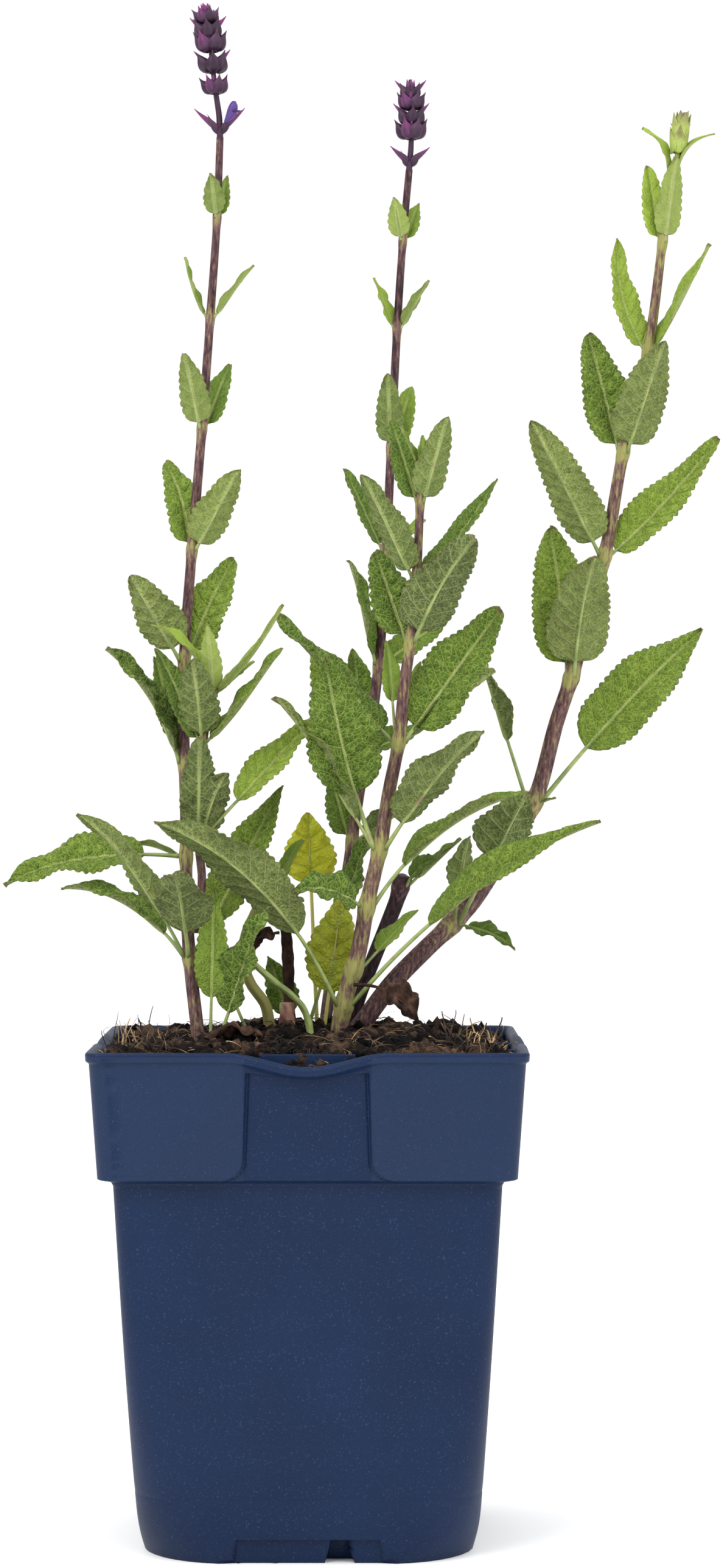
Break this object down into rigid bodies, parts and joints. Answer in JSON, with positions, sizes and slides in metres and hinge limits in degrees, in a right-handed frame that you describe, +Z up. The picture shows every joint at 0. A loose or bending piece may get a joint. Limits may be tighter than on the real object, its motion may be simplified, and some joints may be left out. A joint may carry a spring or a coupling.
{
  "type": "potted flowering sage",
  "caption": "Young flowering sage clump with upright leafy stems and purple flower spikes, growing in a square dark blue plastic nursery pot with a stepped upper band.",
  "frame": {"origin": "on the pot's axis, in the plane its foot stands on", "axes": "+Z up along the pot's axis, +Y to the back, +X to the right; the pot's sides are square to X and Y"},
  "size_m": [0.2046, 0.1246, 0.4337],
  "materials": {
    "pot_plastic": "dark navy moulded plastic, satin, faintly speckled",
    "potting_soil": "dark damp peat with fibres and crumbs",
    "sage_stem": "purple brown square stem, finely hairy, green in places",
    "sage_leaf": "soft matt green leaf, netted with pale veins, paler underneath",
    "yellow_leaf": "matt leaf turned yellow",
    "dead_leaf": "dry brown dead leaf and stem",
    "sage_flower": "dark purple hairy bracts and calyces"
  },
  "bodies": {
    "root": {"back_basal_leaf": "sage_leaf", "bent_leaves_1": "sage_leaf", "bent_stem": "sage_stem", "curled_dead_leaf": "dead_leaf", "cut_leaf_stalk": "dead_leaf", "cut_stub": "dead_leaf", "dead_stem": "dead_leaf", "fallen_dead_leaf": "dead_leaf", "front_leaves_1": "sage_leaf", "front_leaves_2": "sage_leaf", "front_leaves_3": "sage_leaf", "front_leaves_4": "sage_leaf", "front_leaves_5": "sage_leaf", "front_leaves_6": "sage_leaf", "front_leaves_7": "sage_leaf", "front_leaves_8": "sage_leaf", "front_leaves_9": "sage_leaf", "front_stem": "sage_stem", "hanging_dead_leaf": "dead_leaf", "inner_basal_leaves": "sage_leaf", "left_basal_leaves": "sage_leaf", "left_flower_spike": "sage_flower", "left_leaves_1": "sage_leaf", "left_leaves_2": "sage_leaf", "left_leaves_3": "sage_leaf", "left_leaves_4": "sage_leaf", "left_leaves_5": "sage_leaf", "left_leaves_6": "sage_leaf", "left_leaves_7": "sage_leaf", "left_leaves_8": "sage_leaf", "left_stem": "sage_stem", "middle_flower_spike": "sage_flower", "middle_leaves_1": "sage_leaf", "middle_leaves_2": "sage_leaf", "middle_leaves_3": "sage_leaf", "middle_leaves_4": "sage_leaf", "middle_leaves_5": "sage_leaf", "middle_leaves_6": "sage_leaf", "middle_leaves_7": "sage_leaf", "middle_stem": "sage_stem", "pot": "pot_plastic", "pruned_leaves_1": "sage_leaf", "pruned_stem": "sage_stem", "right_flower_bud": "sage_flower", "right_leaves_1": "sage_leaf", "right_leaves_2": "sage_leaf", "right_leaves_3": "sage_leaf", "right_leaves_4": "sage_leaf", "right_leaves_5": "sage_leaf", "right_leaves_6": "sage_leaf", "right_leaves_7": "sage_leaf", "right_leaves_8": "sage_leaf", "right_stem": "sage_stem", "side_leaves_1": "sage_leaf", "side_leaves_2": "sage_leaf", "side_leaves_3": "sage_leaf", "side_stem": "sage_stem", "soil": "potting_soil", "yellow_leaf": "yellow_leaf", "yellowing_leaf": "yellow_leaf"}
  },
  "joints": []
}
